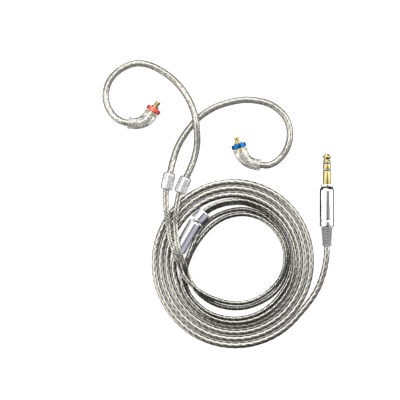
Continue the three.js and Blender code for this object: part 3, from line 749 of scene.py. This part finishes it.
def connector(name, side):
    """Colour ring, gold body with its pin, what is inside it, spring ring and clear housing."""
    place = axis_frame((*side["ring_base"], CONNECTOR_Z), side["towards"])
    tip = RING_THICKNESS + PIN_LENGTH
    anodised = BLUE if name == "left" else RED
    ring = [(RING_BORE_R, 0), (RING_R - 0.15, 0), (RING_R, 0.15), (RING_R, RING_THICKNESS - 0.15),
            (RING_R - 0.15, RING_THICKNESS), (RING_BORE_R, RING_THICKNESS)]
    tail = [
        (0, -4.4), (0.55, -4.2), (0.8, -3.4), (1.05, -2.6), (0.9, -2.0), (0.4, -1.95), (0.4, -1.1), (0, -1.1),
    ]
    insulator = sleeve(INSULATOR_BORE_R, INSULATOR_R, -0.9, tip - 0.4)
    rows = [
        ("colour_ring", ring, anodised, "blue_anodised" if name == "left" else "red_anodised", 0.05),
        ("connector_body", connector_outline(), GOLD, "gold_plate", 0.05),
        ("insulator", insulator, WHITE_PLASTIC, "white_plastic", 0.04),
        ("centre_contact", rod(CENTRE_CONTACT_R, -0.7, tip - 0.6), GOLD, "gold_plate", 0.08),
        ("soldered_tail", tail, TINNED, "solder", 0.25),
    ]
    pieces = []
    for node, outline, material, slot, edge in rows:
        piece = turned_piece(f"{name}_{node}_fine", outline, place, material, edge=edge)
        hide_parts(f"{name}_{node}")
        pieces.append(piece)
    return pieces + [spring_ring(name, place), housing_skin(name, side)]


def bead(name, side):
    """Stepped bead in which the hook tube ends and the lead goes on."""
    place = axis_frame(side["bead"], side["bead_towards"])
    half = BEAD_LENGTH / 2
    outline = [
        (BEAD_BORE_R, -half), (BEAD_FACE_R, -half), (BEAD_R - 0.25, -half + 0.4), (BEAD_R, -half + 1.1),
        (BEAD_R, half - 1.1), (BEAD_R - 0.25, half - 0.4), (BEAD_FACE_R, half), (HOOK_R + 0.25, half),
        (HOOK_R + 0.25, 0.1), (BEAD_BORE_R, 0.1),
    ]
    piece = turned_piece(f"{name}_bead_clear", outline, place, MILKY_BEAD, edge=0.25)
    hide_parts(f"{name}_bead")
    return piece


# ---------------------------------------------------------------- splitter, slider, plug


def splitter():
    """Polished shell where the two leads join the main cable, and the grommet at its lower end."""
    lower, upper = Vector(SPLITTER_LOWER), Vector(SPLITTER_UPPER)
    place = axis_frame(lower, tuple(upper - lower))
    shell = [
        (SPLITTER_BORE_R, 0), (SPLITTER_R - 0.3, 0), (SPLITTER_R, 0.3), (SPLITTER_R, SPLITTER_LENGTH - 0.3),
        (SPLITTER_R - 0.3, SPLITTER_LENGTH), (SPLITTER_BORE_R, SPLITTER_LENGTH),
    ]
    piece = turned_piece("splitter_shell_fine", shell, place, POLISHED, edge=0.12, segments=96)
    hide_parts("splitter_shell")
    outline = sleeve(GROMMET["bore"], GROMMET["radius"], GROMMET["from"], GROMMET["to"])
    grommet = turned_piece("splitter_grommet_fine", outline, place, SILICONE, edge=0.15)
    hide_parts("splitter_grommet")


def slider():
    """Polished shell of the chin slider and its liner, on the two leads."""
    rest = math.radians(SLIDE_REST)
    centre = (
        SLIDE_ARC_CENTRE[0] + SLIDE_ARC_R * math.cos(rest),
        SLIDE_ARC_CENTRE[1] + SLIDE_ARC_R * math.sin(rest),
        SLIDER_Z,
    )
    place = axis_frame(centre, (math.sin(rest), -math.cos(rest), 0))
    half = SLIDER_LENGTH / 2
    shell = [
        (SLIDER_BORE_R, -half), (SLIDER_R - 0.2, -half), (SLIDER_R, -half + 0.2), (SLIDER_R, half - 0.2),
        (SLIDER_R - 0.2, half), (SLIDER_BORE_R, half),
    ]
    piece = turned_piece("chin_slider_shell_fine", shell, place, POLISHED, "chin_slider", 0.08, 96)
    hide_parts("chin_slider_shell")
    liner = sleeve(SLIDER_LINER_BORE_R, SLIDER_LINER_R, -half + GAP, half - GAP)
    piece = turned_piece("chin_slider_liner_fine", liner, place, SILICONE, "chin_slider", 0.06)
    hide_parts("chin_slider_liner")


def relief_outline():
    """Tapered strain relief with rings that let it bend."""
    y0, y1 = PLUG_RELIEF_Y
    rings = 7
    outline = [(MAIN_R + GAP, y0), (1.9, y0)]
    for k in range(rings):
        a = y0 + 0.5 + (y1 - y0 - 1.3) * k / rings
        b = a + 0.5 * (y1 - y0 - 1.3) / rings
        r = 1.95 + 0.5 * (k + 1) / rings
        outline += [(r, a), (r, b), (r - 0.35, b + 0.08), (r - 0.35, b + 0.4)]
    return outline + [(2.5, y1 - 0.75), (2.5, y1), (MAIN_R + GAP, y1)]


def plug():
    """Stereo plug: strain relief, shell, collar, three contacts and the insulators between them."""
    place = axis_frame((PLUG_AXIS[0], 0, PLUG_AXIS[1]), (0, 1))
    y0, y1 = PLUG_SHELL_Y
    c = PLUG_CONTACT_Y
    shell = [
        (PLUG_SHELL_BORE_R, y0), (PLUG_SHELL_R - 0.35, y0), (PLUG_SHELL_R, y0 + 0.35),
        (PLUG_SHELL_R, y0 + 2.2), (PLUG_SHELL_R - 0.18, y0 + 2.35), (PLUG_SHELL_R - 0.18, y0 + 2.75),
        (PLUG_SHELL_R, y0 + 2.9), (PLUG_SHELL_R, y1 - 1.6), (PLUG_SHELL_R - 0.6, y1), (PLUG_SHELL_BORE_R, y1),
    ]
    collar = sleeve(PLUG_CONTACT_R + GAP, PLUG_COLLAR_R, c, c + 0.6)
    rear = rod(PLUG_INSULATOR_R, c + 6.45, c + 7.05)
    front = rod(PLUG_INSULATOR_R, c + 9.45, c + 10.05)
    tip = [
        (0, 10.2), (1.7, 10.2), (1.7, 10.7), (1.2, 11.2), (1.3, 11.7), (1.72, 12.3), (1.65, 12.9),
        (0.5, 14), (0, 14),
    ]
    rows = [
        ("plug_strain_relief", relief_outline(), SILICONE, "grey_silicone", 0.1),
        ("plug_shell", shell, POLISHED, "polished_metal", 0.12),
        ("plug_front_collar", collar, POLISHED, "polished_metal", 0.1),
        ("plug_sleeve_contact", rod(PLUG_CONTACT_R, c - 0.5, c + 6.3), GOLD, "gold_plate", 0.08),
        ("plug_rear_insulator", rear, BLACK_PLASTIC, "black_plastic", 0.05),
        ("plug_ring_contact", rod(PLUG_CONTACT_R, c + 7.2, c + 9.3), GOLD, "gold_plate", 0.08),
        ("plug_front_insulator", front, BLACK_PLASTIC, "black_plastic", 0.05),
        ("plug_tip_contact", [(r, y + c) for r, y in tip], GOLD, "gold_plate", 0.25),
    ]
    pieces = []
    for node, outline, material, slot, edge in rows:
        piece = turned_piece(f"{node}_fine", outline, place, material, edge=edge)
        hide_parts(node)
        pieces.append(piece)
    return pieces


def main_cable(plug_pieces):
    """The four-core cable from inside the splitter, round its flat coil, to the plug."""
    along = (Vector(SPLITTER_UPPER) - Vector(SPLITTER_LOWER)).normalized()
    inside = tuple(Vector(SPLITTER_LOWER) + along * 2.2)
    in_plug = (PLUG_AXIS[0], PLUG_SHELL_Y[0] + 1, PLUG_AXIS[1])
    route = [inside] + MAIN_START + coil_turns() + MAIN_TAIL + [in_plug]
    points = evenly(through(route), 0.5)
    cord = tube_piece("main_cable_cord", points, four_core_radius, 28, MAIN_CABLE)
    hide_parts("main_cable_start", "main_cable_coil", "main_cable_tail")


def paint(node, material):
    """A better material on a CAD node that stays."""
    found = bpy.data.objects[node]
    for slot in found.material_slots:
        slot.material = material


# ---------------------------------------------------------------- camera, floor and light

FRAME_WIDTH = 0.172  # metres across the picture
FRAME_CENTRE = (-0.00784, 0.00183)
CAMERA_HEIGHT = 0.9
SENSOR = 36
KEY_RADIANCE = 9.5
FLOOR_GLOW = 0.8
BEHIND_RADIANCE = 5.6
LEFT_RADIANCE = 3.5
STRIP_RADIANCE = 1.2
ROOM_RADIANCE = (0.14, 0.133, 0.115)


def camera():
    """Looks straight down at the table."""
    data = bpy.data.cameras.new("camera")
    data.sensor_width = SENSOR
    data.lens = SENSOR * CAMERA_HEIGHT / FRAME_WIDTH
    data.clip_start = 0.01
    data.clip_end = 10
    view = bpy.data.objects.new("camera", data)
    view.location = (*FRAME_CENTRE, CAMERA_HEIGHT)
    bpy.context.scene.collection.objects.link(view)
    bpy.context.scene.camera = view


def floor():
    """Pale glowing table top that throws soft light up and takes soft shadows."""
    half = 1.5
    below = -0.00003
    corners = [(-half, -half, below), (half, -half, below), (half, half, below), (-half, half, below)]
    mesh = bpy.data.meshes.new("floor")
    mesh.from_pydata(corners, [], [(0, 1, 2, 3)])
    material, _, shader = node_material("pale_floor")
    shader.inputs["Base Color"].default_value = (0.3, 0.3, 0.3, 1)
    shader.inputs["Roughness"].default_value = 0.7
    shader.inputs["Specular IOR Level"].default_value = 0
    shader.inputs["Emission Color"].default_value = (1, 1, 1, 1)
    shader.inputs["Emission Strength"].default_value = FLOOR_GLOW
    mesh.materials.append(material)
    ground = bpy.data.objects.new("floor", mesh)
    bpy.context.scene.collection.objects.link(ground)
    ground.visible_glossy = False


def lamp(name, place, aim, width, height, radiance, colour):
    """Soft rectangular lamp of a given radiance, turned towards a point."""
    data = bpy.data.lights.new(name, "AREA")
    data.shape = "RECTANGLE"
    data.size = width
    data.size_y = height
    data.energy = radiance * math.pi * width * height
    data.color = colour
    lit = bpy.data.objects.new(name, data)
    lit.location = place
    lit.rotation_mode = "QUATERNION"
    lit.rotation_quaternion = (Vector(aim) - Vector(place)).to_track_quat("-Z", "Y")
    bpy.context.scene.collection.objects.link(lit)


def toward(tree, direction):
    """How far a ray from the world points along a direction, from -1 to 1."""
    place = tree.nodes.new("ShaderNodeTexCoord")
    dot = add(tree, "ShaderNodeVectorMath", "DOT_PRODUCT", i0=place.outputs["Generated"], i1=direction)
    return dot.outputs["Value"]


def between(tree, value, start, end, level=1.0):
    """0 below start, rising smoothly to a level at end. It falls instead when end is below start."""
    node = add(tree, "ShaderNodeMapRange")
    node.interpolation_type = "SMOOTHSTEP"
    tree.links.new(value, node.inputs[0])
    node.inputs["From Min"].default_value = min(start, end)
    node.inputs["From Max"].default_value = max(start, end)
    node.inputs["To Min"].default_value = 0 if start < end else level
    node.inputs["To Max"].default_value = level if start < end else 0
    return node.outputs[0]


def product(tree, *values):
    result = values[0]
    for value in values[1:]:
        result = add(tree, "ShaderNodeMath", "MULTIPLY", i0=result, i1=value).outputs[0]
    return result


def studio():
    """Soft light round the table: a band with a lavender end at the right, and boxes behind and left."""
    world = bpy.data.worlds.new("studio")
    world.use_nodes = True
    bpy.context.scene.world = world
    tree = world.node_tree
    across = toward(tree, (0.866, -0.5, 0))
    along = toward(tree, (0.5, 0.866, 0))
    leftward = toward(tree, (-1, 0, 0))
    up = toward(tree, (0, 0, 1))
    wide = add(tree, "ShaderNodeMapRange")
    tree.links.new(across, wide.inputs[0])
    wide.inputs["From Min"].default_value = -1
    walls = ramp(tree, wide.outputs[0], [
        (0.0, grey(0.4)), (0.06, grey(0.55)), (0.1, grey(1)), (0.36, grey(1)), (0.46, grey(0.4)),
        (0.54, grey(0.14)), (0.6, grey(0.04)), (0.66, (0.08, 0.08, 0.1)), (0.72, (0.34, 0.35, 0.43)),
        (0.93, (0.38, 0.39, 0.48)), (1, (0.4, 0.4, 0.47)),
    ])
    distance = add(tree, "ShaderNodeMath", "ABSOLUTE", i0=along).outputs[0]
    in_line = between(tree, distance, 0.38, 0.28)
    behind_far = between(tree, along, 0.96, 0.86, BEHIND_RADIANCE)
    behind = product(tree, between(tree, along, 0.28, 0.44), behind_far)
    left_side = between(tree, leftward, 0.35, 0.6, LEFT_RADIANCE)
    left = product(tree, between(tree, along, -0.2, -0.34), left_side)
    boxes = add(tree, "ShaderNodeMath", "ADD", i0=behind, i1=left).outputs[0]
    strip = add(tree, "ShaderNodeVectorMath", "SCALE", i0=walls)
    tree.links.new(product(tree, in_line, STRIP_RADIANCE), strip.inputs["Scale"])
    pale = add(tree, "ShaderNodeVectorMath", "SCALE", i0=(1, 0.99, 0.96))
    tree.links.new(boxes, pale.inputs["Scale"])
    both = add(tree, "ShaderNodeVectorMath", "ADD", i0=strip.outputs[0], i1=pale.outputs[0])
    lifted = add(tree, "ShaderNodeVectorMath", "ADD", i0=both.outputs[0], i1=ROOM_RADIANCE)
    above = add(tree, "ShaderNodeVectorMath", "SCALE", i0=lifted.outputs[0])
    tree.links.new(between(tree, up, -0.42, -0.15), above.inputs["Scale"])
    tree.links.new(above.outputs[0], tree.nodes["Background"].inputs[0])


def lights():
    lamp("key", (-0.14, 0.09, 0.32), (0, 0, 0), 0.14, 0.14, KEY_RADIANCE, (1, 0.99, 0.96))


# ---------------------------------------------------------------- the object

camera()
floor()
studio()
lights()
bpy.context.scene.view_settings.view_transform = "Standard"

main_cable(plug())
splitter()
slider()
for number, (name, side) in enumerate(SIDES.items()):
    on_cord = connector(name, side)
    on_cord += [hook_tube(name, side), bead(name, side), housing_wires(name, side, 11 + number)]
    cord, points = ear_cord(name, side)
for node, material in (("splitter_bush", SILICONE), ("wire_splice", TINNED), ("plug_core", WHITE_PLASTIC)):
    paint(node, material)
